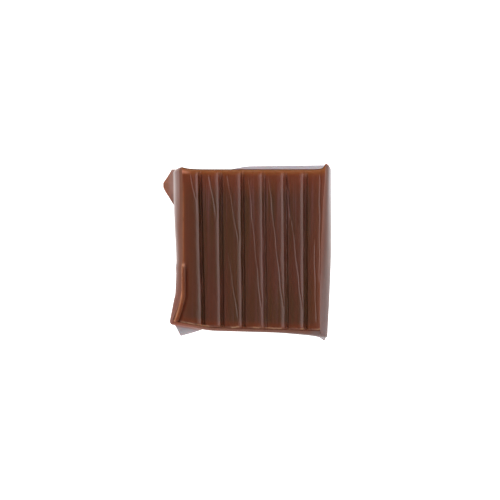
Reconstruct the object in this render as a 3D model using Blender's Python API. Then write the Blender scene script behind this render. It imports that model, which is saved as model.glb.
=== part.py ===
"""Ribbed caramel square: one soft block cut from an extruded rope.

The rope runs along Y, so its seven ribs do too, and the knife cut it across at the
front (-Y) and at the back (+Y). The block lies flat with its ribbed face up. X is
across the ribs, Z is up, and the origin is under the middle of the block's box.
"""
import math

import bmesh
import bpy

MM = 0.001

# The block. Its top face is narrower than its flanks, which swell below the rim.
HEIGHT = 13.0 * MM
TOP_LEFT = -8.64 * MM
TOP_RIGHT = 8.46 * MM
RIGHT_FLARE = 0.66 * MM        # the right rim flares out towards the back
RIGHT_FLARE_FROM = -4.0 * MM
RIGHT_FLARE_POWER = 1.2
TOP_FRONT = -9.80 * MM
TOP_BACK = 10.00 * MM
FRONT_SLANT = 0.030            # the front cut leans back towards its left end
FRONT_CORNER_X = -4.60 * MM    # left of this it bends back more
FRONT_CORNER_RUN = 5.20 * MM
FRONT_CORNER_RISE = 0.66 * MM
FRONT_CORNER_POWER = 1.1
SWELL_LEFT = 1.21 * MM
SWELL_LEFT_DROP = 1.20 * MM    # how quickly the flank swells below the rim
WAIST = 0.34 * MM              # the left flank draws in along its middle
WAIST_Y = -2.0 * MM
WAIST_RUN = 5.2 * MM
CORNER_ROUND = 0.50 * MM       # the left flank rounds off at its back end
CORNER_LEVEL = 4.0 * MM        # but not where it meets the ear, below this
SWELL_RIGHT = 1.53 * MM
SWELL_RIGHT_DROP = 1.65 * MM
PINCH = 0.50 * MM              # the right flank draws in towards the front
PINCH_FROM = 2.0 * MM
PINCH_RUN = 12.0 * MM
PINCH_POWER = 1.3
FRONT_SWELL = 0.42 * MM
FRONT_SWELL_DROP = 0.46 * MM
FRONT_LEAN = 0.33 * MM         # how far each cut leans out by the base
BACK_LEAN = 0.05 * MM
FOOT_ROUND = 0.25 * MM
FOOT_HEIGHT = 0.45 * MM

# Each groove: where it meets the back and the front cut, and its depth.
GROOVES = [
    (-6.50 * MM, -6.05 * MM, 0.38 * MM),
    (-3.94 * MM, -3.68 * MM, 0.38 * MM),
    (-1.22 * MM, -1.02 * MM, 0.30 * MM),
    (1.44 * MM, 1.70 * MM, 0.22 * MM),
    (4.12 * MM, 4.34 * MM, 0.26 * MM),
    (6.62 * MM, 6.68 * MM, 0.34 * MM),
]
VALLEY_HALF_WIDTH = 0.30 * MM
VALLEY_WALL = 0.17 * MM
LEFT_SHOULDER = 0.12 * MM      # how far a rib rolls down before it drops into the groove
LEFT_SHOULDER_RUN = 0.72 * MM
RIGHT_SHOULDER = 0.05 * MM
RIGHT_SHOULDER_RUN = 0.50 * MM
DEEP_GROOVE = 0.38 * MM        # a groove this deep has full shoulders, a shallow one half
RIB_CROWN = 0.08 * MM
RIB_FADE = 0.80 * MM           # the ribs die out this close to a cut edge
CUT_EDGE_DROOP = 0.12 * MM
CUT_EDGE_RUN = 0.30 * MM

# Slanting creases pressed into the ribs: start x, start y, end x, end y, depth.
CREASES = [
    (-7.71 * MM, 9.81 * MM, -6.90 * MM, 5.96 * MM, 0.11 * MM),
    (-5.41 * MM, 9.69 * MM, -4.42 * MM, 4.10 * MM, 0.13 * MM),
    (-3.12 * MM, 9.69 * MM, -1.69 * MM, 0.99 * MM, 0.11 * MM),
    (-2.93 * MM, -0.25 * MM, -1.69 * MM, -8.70 * MM, 0.11 * MM),
    (-0.44 * MM, 9.44 * MM, 1.17 * MM, -7.45 * MM, 0.12 * MM),
    (2.04 * MM, 9.69 * MM, 3.90 * MM, -7.45 * MM, 0.14 * MM),
    (4.21 * MM, 9.69 * MM, 4.84 * MM, 3.48 * MM, 0.20 * MM),
    (4.90 * MM, 4.47 * MM, 6.30 * MM, -7.95 * MM, 0.14 * MM),
    (6.82 * MM, 9.57 * MM, 7.22 * MM, 0.99 * MM, 0.09 * MM),
    (7.76 * MM, 1.24 * MM, 8.00 * MM, -9.32 * MM, 0.08 * MM),
    (8.46 * MM, 9.60 * MM, 8.44 * MM, -4.00 * MM, 0.10 * MM),
]
CREASE_HALF_WIDTH = 0.24 * MM
CREASE_RUN_OUT = 0.90 * MM

# The lip that curls up along the front half of the left rim, and its horn.
LIP_START_Y = -1.60 * MM
LIP_RUN_IN = 1.0 * MM
LIP_OUT = 0.12 * MM
LIP_HEIGHT = 0.26 * MM
LIP_WIDTH = 0.30 * MM
LIP_INSET = 0.06 * MM
LIP_CREASE_INSET = 0.48 * MM
LIP_CREASE_WIDTH = 0.20 * MM
LIP_CREASE_DEPTH = 0.14 * MM
HORN_START_Y = -5.70 * MM
HORN_REACH = 1.22 * MM
HORN_POWER = 1.3
HORN_ROUND = 0.55 * MM         # the horn's end is rounded
HORN_BLUNT = 0.40 * MM
HORN_SHARE = 0.74              # how much of the flare the flank below makes up for

# The ear dragged out of the back left corner, low on the flank.
EAR_TIP_Y = 8.55 * MM
EAR_REACH = 1.68 * MM
EAR_BACK_RUN = 2.16 * MM
EAR_FRONT_RUN = 2.10 * MM
EAR_HEIGHT = 1.80 * MM
EAR_MERGE = 0.50 * MM          # where the ear stands out this far the foot isn't rounded

# Corners that the knife dragged: the rim's corner x, y, how far it went in x, y, how far
# along the rim it pulls, the height where it pulls most and how far up and down.
DRAGS = [
    (TOP_RIGHT + RIGHT_FLARE, TOP_BACK, 0.0, 0.72 * MM, 0.28 * MM, HEIGHT, 1.5 * MM),
    (TOP_LEFT, TOP_BACK, -0.10 * MM, 0.28 * MM, 0.70 * MM, HEIGHT, 4.0 * MM),
    (TOP_LEFT, TOP_BACK, 0.05 * MM, 0.34 * MM, 0.70 * MM, 0.0, 7.0 * MM),
    (TOP_RIGHT, -10.09 * MM, -0.05 * MM, -0.50 * MM, 0.40 * MM, 0.0, 1.2 * MM),
]

# Thin films smeared on the surface that the block was cut on.
FILM_THICKNESS = 0.28 * MM
FILM_FILLET = 0.20 * MM
BACK_FILM_REACH = 0.76 * MM
BACK_FILM_GROWTH = 0.013
BACK_FILM_LEFT = -5.4 * MM
BACK_FILM_FULL = 0.0
FRONT_FILM_REACH = 1.34 * MM
FRONT_FILM_LEFT = -9.95 * MM
FRONT_FILM_PEAK = -9.20 * MM
FRONT_FILM_RIGHT = -6.30 * MM
FRONT_FILM_POWER = 0.9
FLANGE_REACH = 0.38 * MM       # the front cut flares out at its right end
FLANGE_START = 2.5 * MM
FLANGE_END = 8.8 * MM
FLANGE_DROP = 1.0 * MM
FLANGE_POWER = 1.2

# Spacing of the mesh.
RIB_STEPS = (0.0, 0.055, 0.115, 0.20, 0.35, 0.50, 0.62, 0.72, 0.80, 0.885, 0.945)
END_STEPS = (0.0, 0.15 * MM, 0.40 * MM, 0.75 * MM, 1.20 * MM)
MIDDLE_ROWS = 20
WALL_HEIGHTS = (12.8 * MM, 12.45 * MM, 11.9 * MM, 11.1 * MM, 9.8 * MM, 7.6 * MM, 5.0 * MM,
                3.0 * MM, 1.7 * MM, 0.9 * MM, FOOT_HEIGHT, FILM_THICKNESS, 0.0)

CARAMEL_COLOUR = (0.090, 0.036, 0.022, 1.0)
CARAMEL_ROUGHNESS = 0.38
SHARP_ANGLE = 40.0             # degrees


def clamp(value):
    return min(1.0, max(0.0, value))


def ease(value):
    """A smooth step from 0 to 1."""
    t = clamp(value)
    return t * t * (3.0 - 2.0 * t)


def mix(start, end, t):
    return start + (end - start) * t


def hill(offset, half_width):
    """A rounded hill of height 1, gone at its half width."""
    return 1.0 - ease(abs(offset) / half_width)


def lip_start(y):
    return ease((LIP_START_Y - y) / LIP_RUN_IN)


def left_rim(y):
    """The left rim runs straight and then flares out into the horn at the front."""
    run = clamp((HORN_START_Y - y) / (HORN_START_Y - TOP_FRONT))
    end = clamp((TOP_FRONT + HORN_ROUND - y) / HORN_ROUND)
    blunt = HORN_BLUNT * (1.0 - math.sqrt(1.0 - end * end))
    return TOP_LEFT - LIP_OUT * lip_start(y) - HORN_REACH * run ** HORN_POWER + blunt


def right_rim(y):
    """The right rim runs straight and then flares out towards the back."""
    run = clamp((y - RIGHT_FLARE_FROM) / (TOP_BACK - RIGHT_FLARE_FROM))
    return TOP_RIGHT + RIGHT_FLARE * run ** RIGHT_FLARE_POWER


def front_rim(x):
    """The front cut slants, and bends back at its left corner."""
    corner = clamp((FRONT_CORNER_X - x) / FRONT_CORNER_RUN) ** FRONT_CORNER_POWER
    return TOP_FRONT - FRONT_SLANT * x + FRONT_CORNER_RISE * corner


def rib_lines(y, along):
    """Where the rims and the grooves cross one row of the top face."""
    grooves = [mix(front, back, along) for back, front, _ in GROOVES]
    return [left_rim(y)] + grooves + [right_rim(y)]


def rib_crown(x, lines):
    """Each rib is gently crowned between its two grooves."""
    for left, right in zip(lines, lines[1:]):
        if left <= x <= right:
            across = (x - left) / (right - left)
            return RIB_CROWN * 4.0 * across * (1.0 - across)
    return 0.0


def groove_cut(x, lines):
    """Depth of the nearest groove: its ribs roll down to a narrow valley."""
    cut = 0.0
    for centre, (_, _, depth) in zip(lines[1:-1], GROOVES):
        offset = x - centre
        left = clamp(1.0 + (offset + VALLEY_HALF_WIDTH) / LEFT_SHOULDER_RUN)
        right = clamp(1.0 - (offset - VALLEY_HALF_WIDTH) / RIGHT_SHOULDER_RUN)
        side = ease(0.5 + 0.5 * offset / VALLEY_HALF_WIDTH)
        shoulder = mix(LEFT_SHOULDER * left ** 3, RIGHT_SHOULDER * right ** 2, side)
        shoulder *= mix(0.5, 1.0, depth / DEEP_GROOVE)
        floor = ease((VALLEY_HALF_WIDTH - abs(offset)) / VALLEY_WALL)
        cut = max(cut, shoulder + depth * floor)
    return cut


def crease_cut(x, y):
    """Depth of the slanting creases at a point."""
    cut = 0.0
    for start_x, start_y, end_x, end_y, depth in CREASES:
        along = (start_y - y) / (start_y - end_y)
        if 0.0 <= along <= 1.0:
            offset = x - mix(start_x, end_x, along)
            ends = min(start_y - y, y - end_y) / CREASE_RUN_OUT
            cut = max(cut, depth * ease(ends) * hill(offset, CREASE_HALF_WIDTH))
    return cut


def lip_rise(x, y):
    """The curled lip on the left rim, with the crease at its foot."""
    inset = x - left_rim(y)
    rise = LIP_HEIGHT * hill(inset - LIP_INSET, LIP_WIDTH)
    crease = LIP_CREASE_DEPTH * hill(inset - LIP_CREASE_INSET, LIP_CREASE_WIDTH)
    return lip_start(y) * (rise - crease)


def top_height(x, y, lines, end_distance):
    """Height of the ribbed face."""
    relief = rib_crown(x, lines) - max(groove_cut(x, lines), crease_cut(x, y))
    fade = ease(end_distance / RIB_FADE)
    droop = CUT_EDGE_DROOP * (1.0 - ease(end_distance / CUT_EDGE_RUN))
    return HEIGHT + relief * fade - droop + lip_rise(x, y)


def bulge(z, drop):
    """Share of its full swell that a wall has reached at height z."""
    return math.tanh((HEIGHT - z) / drop)


def foot_tuck(z):
    """The foot is slightly rounded."""
    return FOOT_ROUND * (1.0 - ease(z / FOOT_HEIGHT))


def ear(y, z):
    """The ear stands out from the left flank and thickens upwards into it."""
    if y > EAR_TIP_Y:
        reach = clamp(1.0 - (y - EAR_TIP_Y) / EAR_BACK_RUN)
    else:
        reach = math.exp(-((EAR_TIP_Y - y) / EAR_FRONT_RUN) ** 2)
    return EAR_REACH * reach * math.exp(-z / EAR_HEIGHT)


def left_swell(y, z):
    """The flank swells less at its waist, and where the rim above it flares out."""
    waist = WAIST * math.exp(-((y - WAIST_Y) / WAIST_RUN) ** 2)
    flare = TOP_LEFT - left_rim(y)
    full = max(SWELL_LEFT - waist - HORN_SHARE * flare, 0.0)
    corner = clamp((y - TOP_BACK + CORNER_ROUND) / CORNER_ROUND)
    full *= mix(1.0, math.sqrt(1.0 - corner ** 2), ease(z / CORNER_LEVEL))
    tuck = foot_tuck(z) * clamp(1.0 - ear(y, 0.0) / EAR_MERGE)
    return full * bulge(z, SWELL_LEFT_DROP) + ear(y, z) - tuck


def right_swell(y, z):
    full = SWELL_RIGHT - (right_rim(y) - TOP_RIGHT)
    full -= PINCH * clamp((PINCH_FROM - y) / PINCH_RUN) ** PINCH_POWER
    return full * bulge(z, SWELL_RIGHT_DROP) - foot_tuck(z)


def film_profile(z):
    """A film is thin at the base and runs up into the wall in a small fillet."""
    return math.exp(-max(z - FILM_THICKNESS, 0.0) / FILM_FILLET)


def front_swell(x, z):
    wall = FRONT_LEAN * (1.0 - z / HEIGHT) + FRONT_SWELL * bulge(z, FRONT_SWELL_DROP)
    if x < FRONT_FILM_PEAK:
        film = clamp((x - FRONT_FILM_LEFT) / (FRONT_FILM_PEAK - FRONT_FILM_LEFT))
    else:
        film = clamp((FRONT_FILM_RIGHT - x) / (FRONT_FILM_RIGHT - FRONT_FILM_PEAK))
        film = film ** FRONT_FILM_POWER
    flange = clamp((x - FLANGE_START) / (FLANGE_END - FLANGE_START))
    flare = FLANGE_REACH * flange ** FLANGE_POWER * bulge(z, FLANGE_DROP)
    return wall + flare + FRONT_FILM_REACH * film * film_profile(z)


def back_swell(x, z):
    film = ease((x - BACK_FILM_LEFT) / (BACK_FILM_FULL - BACK_FILM_LEFT))
    reach = BACK_FILM_REACH + BACK_FILM_GROWTH * x
    return BACK_LEAN + reach * film * film_profile(z)


def dragged(place, rim_x, rim_y):
    """Move a point by the corners that the knife dragged."""
    x, y, z = place
    moved_x, moved_y = x, y
    for corner_x, corner_y, drag_x, drag_y, reach, level, spread in DRAGS:
        distance = math.hypot(rim_x - corner_x, rim_y - corner_y)
        pull = math.exp(-distance / reach) * math.exp(-((z - level) / spread) ** 2)
        moved_x += drag_x * pull
        moved_y += drag_y * pull
    return moved_x, moved_y, z


def columns():
    """Column positions counted in ribs, closer together beside the grooves."""
    ribs = len(GROOVES) + 1
    return [rib + step for rib in range(ribs) for step in RIB_STEPS] + [float(ribs)]


def rows():
    """Row positions from front (0) to back (1), closer together at the cut edges."""
    length = TOP_BACK - TOP_FRONT
    front = [step / length for step in END_STEPS]
    back = [1.0 - step for step in reversed(front)]
    first, last = front[-1], back[0]
    middle = [mix(first, last, row / MIDDLE_ROWS) for row in range(1, MIDDLE_ROWS)]
    return front + middle + back


def top_point(column, along):
    """A point of the ribbed face, before any corner is dragged."""
    level_y = mix(TOP_FRONT, TOP_BACK, along)
    lines = rib_lines(level_y, along)
    rib = min(int(column), len(lines) - 2)
    x = mix(lines[rib], lines[rib + 1], column - rib)
    y = mix(front_rim(x), TOP_BACK, along)
    end_distance = min(y - front_rim(x), TOP_BACK - y)
    return x, y, top_height(x, y, lines, end_distance)


def wall_point(column, along, z):
    """A point of the wall below a rim point."""
    x, y, _ = top_point(column, along)
    across = clamp((x - left_rim(y)) / (right_rim(y) - left_rim(y)))
    wall_x = x - left_swell(y, z) * (1.0 - across) + right_swell(y, z) * across
    wall_y = y - front_swell(wall_x, z) * (1.0 - along) + back_swell(wall_x, z) * along
    return dragged((wall_x, wall_y, z), x, y)


def rim_loop(column_list, row_list):
    """The column and row of each rim point, once around, seen from above."""
    front = [(column, 0) for column in range(len(column_list) - 1)]
    right = [(len(column_list) - 1, row) for row in range(len(row_list) - 1)]
    back = [(column, len(row_list) - 1) for column in range(len(column_list) - 1, 0, -1)]
    left = [(0, row) for row in range(len(row_list) - 1, 0, -1)]
    return front + right + back + left


def add_top(mesh, column_list, row_list):
    """The ribbed face as a grid of vertices and quads."""
    grid = {}
    for i, column in enumerate(column_list):
        for j, along in enumerate(row_list):
            x, y, z = top_point(column, along)
            grid[i, j] = mesh.verts.new(dragged((x, y, z), x, y))
    for i in range(len(column_list) - 1):
        for j in range(len(row_list) - 1):
            mesh.faces.new((grid[i, j], grid[i + 1, j], grid[i + 1, j + 1], grid[i, j + 1]))
    return grid


def add_walls(mesh, grid, column_list, row_list):
    """Four walls as loops stepping down from the rim, closed by the flat base."""
    loop = rim_loop(column_list, row_list)
    upper = [grid[place] for place in loop]
    for z in WALL_HEIGHTS:
        lower = [mesh.verts.new(wall_point(column_list[i], row_list[j], z)) for i, j in loop]
        for index in range(len(loop)):
            after = (index + 1) % len(loop)
            mesh.faces.new((upper[index], lower[index], lower[after], upper[after]))
        upper = lower
    mesh.faces.new(list(reversed(upper)))


def centre_on_base(mesh):
    """Put the origin under the middle of the block's box."""
    x_values = [vertex.co.x for vertex in mesh.verts]
    y_values = [vertex.co.y for vertex in mesh.verts]
    middle_x = (min(x_values) + max(x_values)) / 2.0
    middle_y = (min(y_values) + max(y_values)) / 2.0
    bmesh.ops.translate(mesh, vec=(-middle_x, -middle_y, 0.0), verts=mesh.verts)


def caramel_material():
    material = bpy.data.materials.new("caramel")
    material.use_nodes = True
    shader = material.node_tree.nodes["Principled BSDF"]
    shader.inputs["Base Color"].default_value = CARAMEL_COLOUR
    shader.inputs["Roughness"].default_value = CARAMEL_ROUGHNESS
    shader.inputs["Metallic"].default_value = 0.0
    return material


def make_caramel():
    """The whole piece as one closed solid."""
    column_list = columns()
    row_list = rows()
    mesh = bmesh.new()
    grid = add_top(mesh, column_list, row_list)
    add_walls(mesh, grid, column_list, row_list)
    centre_on_base(mesh)
    bmesh.ops.triangulate(mesh, faces=mesh.faces, quad_method="BEAUTY", ngon_method="BEAUTY")
    bmesh.ops.recalc_face_normals(mesh, faces=mesh.faces)
    data = bpy.data.meshes.new("caramel")
    mesh.to_mesh(data)
    mesh.free()
    data.materials.append(caramel_material())
    data.shade_smooth()
    data.set_sharp_from_angle(angle=math.radians(SHARP_ANGLE))
    piece = bpy.data.objects.new("caramel", data)
    bpy.context.scene.collection.objects.link(piece)
    return piece


def clear_scene():
    for item in list(bpy.data.objects):
        bpy.data.objects.remove(item, do_unlink=True)


def main():
    clear_scene()
    make_caramel()


main()
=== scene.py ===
"""Looks of the ribbed caramel square: one soft brown block, cut from an extruded rope,
lying ribbed face up on a pale studio floor. Sizes are in metres."""
import math

import bpy
import numpy as np
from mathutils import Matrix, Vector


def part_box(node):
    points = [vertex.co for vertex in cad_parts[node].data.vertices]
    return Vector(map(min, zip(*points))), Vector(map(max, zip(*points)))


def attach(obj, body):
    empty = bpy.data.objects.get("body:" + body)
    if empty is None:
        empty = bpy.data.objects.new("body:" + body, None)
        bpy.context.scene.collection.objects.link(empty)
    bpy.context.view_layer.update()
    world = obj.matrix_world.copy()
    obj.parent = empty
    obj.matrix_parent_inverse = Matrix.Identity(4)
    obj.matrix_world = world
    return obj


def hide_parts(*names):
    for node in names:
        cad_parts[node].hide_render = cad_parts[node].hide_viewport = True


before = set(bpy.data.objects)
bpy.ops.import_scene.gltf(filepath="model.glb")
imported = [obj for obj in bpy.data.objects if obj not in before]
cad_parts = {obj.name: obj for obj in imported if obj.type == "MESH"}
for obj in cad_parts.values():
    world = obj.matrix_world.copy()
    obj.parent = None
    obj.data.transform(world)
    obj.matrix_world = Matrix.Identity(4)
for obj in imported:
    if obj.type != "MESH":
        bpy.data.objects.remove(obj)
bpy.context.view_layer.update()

MM = 0.001

# ------------------------------------------------------------------ sizes of the block
HEIGHT = 13.0 * MM
TOP_LEFT = -8.64 * MM
TOP_RIGHT = 8.46 * MM
RIGHT_FLARE = 0.66 * MM        # the right rim flares out towards the back
RIGHT_FLARE_FROM = -4.0 * MM
RIGHT_FLARE_POWER = 1.2
TOP_FRONT = -9.80 * MM
TOP_BACK = 10.00 * MM
FRONT_SLANT = 0.030            # the front cut leans back towards its left end
FRONT_CORNER_X = -4.60 * MM    # left of this it bends back more
FRONT_CORNER_RUN = 5.20 * MM
FRONT_CORNER_RISE = 0.66 * MM
FRONT_CORNER_POWER = 1.1
SWELL_LEFT = 1.21 * MM
SWELL_LEFT_DROP = 1.20 * MM
WAIST = 0.34 * MM              # the left flank draws in along its middle
WAIST_Y = -2.0 * MM
WAIST_RUN = 5.2 * MM
CORNER_ROUND = 0.50 * MM       # the left flank rounds off at its back end
CORNER_LEVEL = 4.0 * MM        # but not where it meets the ear, below this
SWELL_RIGHT = 1.53 * MM
SWELL_RIGHT_DROP = 1.65 * MM
PINCH = 0.50 * MM              # the right flank draws in towards the front
PINCH_FROM = 2.0 * MM
PINCH_RUN = 12.0 * MM
PINCH_POWER = 1.3
FRONT_SWELL = 0.42 * MM
FRONT_SWELL_DROP = 0.46 * MM
FRONT_LEAN = 0.33 * MM
BACK_LEAN = 0.05 * MM
SOFT_START = 0.10              # each flare sets off in a bend, over this share of its run
FOOT_ROUND = 0.25 * MM
FOOT_HEIGHT = 0.45 * MM

# Each groove: where it meets the back and the front cut, its depth and its inner ridge's height.
GROOVES = [
    (-6.50 * MM, -6.05 * MM, 0.38 * MM, 0.28 * MM),
    (-3.94 * MM, -3.68 * MM, 0.38 * MM, 0.12 * MM),
    (-1.22 * MM, -1.02 * MM, 0.30 * MM, 0.24 * MM),
    (1.44 * MM, 1.70 * MM, 0.22 * MM, 0.10 * MM),
    (4.12 * MM, 4.34 * MM, 0.26 * MM, 0.07 * MM),
    (6.62 * MM, 6.68 * MM, 0.34 * MM, 0.05 * MM),
]
VALLEY_HALF_WIDTH = 0.30 * MM
VALLEY_WALL = 0.17 * MM
LEFT_SHOULDER = 0.12 * MM      # how far a rib rolls down before it drops into the groove
LEFT_SHOULDER_RUN = 0.72 * MM
RIGHT_SHOULDER = 0.05 * MM
RIGHT_SHOULDER_RUN = 0.50 * MM
DEEP_GROOVE = 0.38 * MM        # a groove this deep has full shoulders, a shallow one half
LEFT_SHOULDER_POWER = 3.0
RIGHT_SHOULDER_POWER = 2.0
SHALLOW_SHARE = 0.5            # the shoulder that even the shallowest groove has
RIDGE_HALF_WIDTH = 0.13 * MM
RIB_CROWN = 0.08 * MM
RIB_FADE = 0.80 * MM           # the ribs die out this close to the back cut
VALLEY_FADE = 1.80 * MM
FRONT_FADE = 0.30 * MM         # they run closer to the front cut
FRONT_HALF = (-1.0 * MM, 1.0 * MM)
CUT_EDGE_ROUND = 0.14 * MM
BURR_HEIGHT = 0.03 * MM
BURR_GAP = 0.24 * MM
DRAG_DEPTH = 0.013 * MM
GROOVE_WANDER = 0.16 * MM

# Noise in the pressed marks: its cycles per metre in x, y and z, and its detail. Each window
# is the pair of values between which a mark goes from none to full.
NOISE_MEAN = 0.5
WANDER_NOISE = ((90.0, 420.0, 0.0), 2.0)
DEPTH_NOISE = ((380.0, 300.0, 0.0), 2.0)
DEPTH_LEAST = 0.6              # the noise takes a groove from this share of its depth
DEPTH_SPAN = 0.8               # to this much more
RIDGE_NOISE = ((0.0, 260.0, 0.0), 1.0)
RIDGE_WINDOW = (0.32, 0.55)
DRAG_NOISE = ((5200.0, 90.0, 0.0), 2.0)
BURR_NOISE = ((1500.0, 300.0, 0.0), 2.0)
BURR_WINDOW = (0.4, 0.7)

# Slanting creases: start x, start y, end x, end y, depth.
CREASES = [
    (-7.71 * MM, 9.81 * MM, -6.90 * MM, 5.96 * MM, 0.08 * MM),
    (-5.41 * MM, 9.69 * MM, -4.42 * MM, 4.10 * MM, 0.10 * MM),
    (-3.12 * MM, 9.69 * MM, -1.69 * MM, 0.99 * MM, 0.07 * MM),
    (-2.93 * MM, -0.25 * MM, -1.69 * MM, -8.70 * MM, 0.07 * MM),
    (-0.44 * MM, 9.44 * MM, 1.17 * MM, -7.45 * MM, 0.06 * MM),
    (2.04 * MM, 9.69 * MM, 3.90 * MM, -7.45 * MM, 0.08 * MM),
    (4.21 * MM, 9.69 * MM, 4.84 * MM, 3.48 * MM, 0.20 * MM),
    (4.90 * MM, 4.47 * MM, 6.30 * MM, -7.95 * MM, 0.08 * MM),
    (6.82 * MM, 9.57 * MM, 7.22 * MM, 0.99 * MM, 0.06 * MM),
    (7.76 * MM, 1.24 * MM, 8.00 * MM, -9.32 * MM, 0.06 * MM),
    (8.46 * MM, 9.60 * MM, 8.44 * MM, -4.00 * MM, 0.08 * MM),
]
CREASE_LEFT_BANK = 0.17 * MM
CREASE_RIGHT_BANK = 0.15 * MM
CREASE_RUN_OUT = 0.90 * MM
CREASE_BANK_POWER = 2.0
CREASE_WAVE = 0.035 * MM
CREASE_WAVE_RUN = 0.7 * MM     # a crease sways by one radian over this length
CREASE_WAVE_SHIFT = 0.4 * MM   # and each crease by another part of the wave
CREASE_DEPTH_MEAN = 0.88
CREASE_DEPTH_SWING = 0.16
CREASE_DEPTH_RUN = 1.3 * MM
CREASE_DEPTH_SHIFT = 0.5 * MM

# The lip that curls up on the front half of the left rim, and its horn.
LIP_START_Y = -1.60 * MM
LIP_RUN_IN = 1.0 * MM
LIP_OUT = 0.12 * MM
LIP_HEIGHT = 0.26 * MM
LIP_WIDTH = 0.30 * MM
LIP_INSET = 0.06 * MM
LIP_CREASE_INSET = 0.48 * MM
LIP_CREASE_HALF_WIDTH = 0.20 * MM
LIP_CREASE_DEPTH = 0.14 * MM
LIP_MARK_WIDTH = 1.5 * MM      # the top face is marked as lip up to here
KNOB_Y = -1.90 * MM            # a small knob where the lip sets off
KNOB_RADIUS = 0.34 * MM
KNOB_HEIGHT = 0.16 * MM
WARM_WALL_RIGHT = -4.5 * MM    # the walls' warmer colour at the horn fades out here
WARM_WALL_BACK = 0.5 * MM
WARM_WALL_WIDTH = 5.0 * MM
WARM_WALL_LENGTH = 8.5 * MM
HORN_START_Y = -5.70 * MM
HORN_REACH = 1.22 * MM
HORN_POWER = 1.3
HORN_ROUND = 0.55 * MM         # the horn's end is rounded
HORN_BLUNT = 0.40 * MM
HORN_SHARE = 0.74              # how much of the flare the flank below makes up for

# The ear at the back left corner.
EAR_TIP_Y = 8.55 * MM
EAR_REACH = 1.68 * MM
EAR_BACK_RUN = 2.16 * MM
EAR_FRONT_RUN = 2.10 * MM
EAR_HEIGHT = 1.80 * MM
EAR_MERGE = 0.50 * MM

# Corners that the knife dragged: the rim's corner x, y, how far it went in x, y, how far
# along the rim it pulls, the height where it pulls most and how far up and down.
DRAGS = [
    (TOP_RIGHT + RIGHT_FLARE, TOP_BACK, 0.0, 0.72 * MM, 0.28 * MM, HEIGHT, 1.5 * MM),
    (TOP_LEFT, TOP_BACK, -0.10 * MM, 0.28 * MM, 0.70 * MM, HEIGHT, 4.0 * MM),
    (TOP_LEFT, TOP_BACK, 0.05 * MM, 0.34 * MM, 0.70 * MM, 0.0, 7.0 * MM),
    (TOP_RIGHT, -10.09 * MM, -0.05 * MM, -0.50 * MM, 0.40 * MM, 0.0, 1.2 * MM),
]

# Films smeared at the base.
FILM_THICKNESS = 0.28 * MM
FILM_FILLET = 0.20 * MM
BACK_FILM_REACH = 0.76 * MM
BACK_FILM_GROWTH = 0.013
BACK_FILM_LEFT = -5.4 * MM
BACK_FILM_FULL = 0.0
FRONT_FILM_REACH = 1.34 * MM
FRONT_FILM_LEFT = -9.95 * MM
FRONT_FILM_PEAK = -9.20 * MM
FRONT_FILM_RIGHT = -6.30 * MM
FRONT_FILM_POWER = 0.9
FLANGE_REACH = 0.38 * MM
FLANGE_START = 2.5 * MM
FLANGE_END = 8.8 * MM
FLANGE_DROP = 1.0 * MM
FLANGE_POWER = 1.2
THIN_REACH = 0.45 * MM         # past this reach the caramel is as thin as film
EAR_THINNESS = 0.45

# Fineness of the mesh.
STEPS_PER_RIB = 60
ROW_STEPS = 112
GROOVE_CROWDING = 0.35
END_CROWDING = 0.85
UNDER_RIM_LOOPS = 12
UNDER_RIM_DEPTH = 1.2 * MM
UNDER_RIM_FIRST = 0.06         # the first loop's share of that depth, before crowding
UNDER_RIM_CROWDING = 1.4
FLANK_LOOPS = 12
FLANK_DROP = 1.6 * MM
FLANK_END = 1.5 * MM
FOOT_LOOPS = 9
FOOT_START = 1.30 * MM
FILM_STEPS = np.array([0.5, 0.0])
UNDERSIDE_INSET = 1.6 * MM
UNDERSIDE_STEPS = (0.3, 0.65, 1.0)

# Colours, as linear red, green and blue.
DARK_BROWN = (0.071, 0.0265, 0.0100, 1.0)
RED_BROWN = (0.088, 0.0260, 0.0135, 1.0)
# painted highlight: the lilac of sheen streaks on the ribs
STREAK_HIGHLIGHT_LILAC = (0.135, 0.058, 0.052, 1.0)
WARM_BROWN = (0.128, 0.035, 0.0145, 1.0)
END_RED = (0.150, 0.034, 0.0130, 1.0)
RIM_BROWN = (0.190, 0.056, 0.020, 1.0)
LEFT_WALL = (0.180, 0.048, 0.018, 1.0)
RIGHT_WALL = (0.078, 0.020, 0.008, 1.0)
# painted reflection: the grey of the white floor on the front right wall
REFLECTED_GREY_WALL = (0.115, 0.072, 0.067, 1.0)
# the edge orange and the front orange below are a painted glow of light through the thin cut
# edges
EDGE_GLOW_ORANGE = (0.250, 0.070, 0.009, 1.0)
BACK_EDGE = (0.085, 0.036, 0.006, 1.0)
FRONT_GLOW_ORANGE = (0.118, 0.027, 0.006, 1.0)
CORNER_HIGHLIGHT_SALMON = (0.600, 0.240, 0.150, 1.0)
EDGE_GLINT_CREAM = (0.330, 0.170, 0.085, 1.0)
# painted highlight: the thin light line along the left rim
RIM_HIGHLIGHT_LINE = (0.300, 0.105, 0.045, 1.0)
# the lip's crest colour is a painted highlight, its orange a painted glow and its shadow painted
# shade
LIP_CREST_HIGHLIGHT = (0.440, 0.180, 0.085, 1.0)
LIP_GLOW_ORANGE = (0.150, 0.032, 0.002, 1.0)
LIP_SHADOW = (0.080, 0.012, 0.001, 1.0)
LIP_WALL = (0.170, 0.028, 0.003, 1.0)
EAR_BROWN = (0.390, 0.165, 0.105, 1.0)
# the ear grey is a painted reflection and the ear shadow painted shade
EAR_REFLECTED_GREY = (0.320, 0.200, 0.180, 1.0)
EAR_SHADOW = (0.120, 0.050, 0.040, 1.0)
# pale grey of the thin films, also used as a painted sheen on the right flank
FILM_AND_SHEEN_GREY = (0.400, 0.372, 0.405, 1.0)

# The finish. A window is the pair of values between which a tint goes from none to full, a
# noise is its cycles per metre in x, y and z with its detail, and a share is how much of a
# tint shows.
LEFT_TO_RIGHT = (-8.8 * MM, 8.8 * MM)
FRONT_TO_BACK = (-2.0 * MM, 2.0 * MM)

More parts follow.
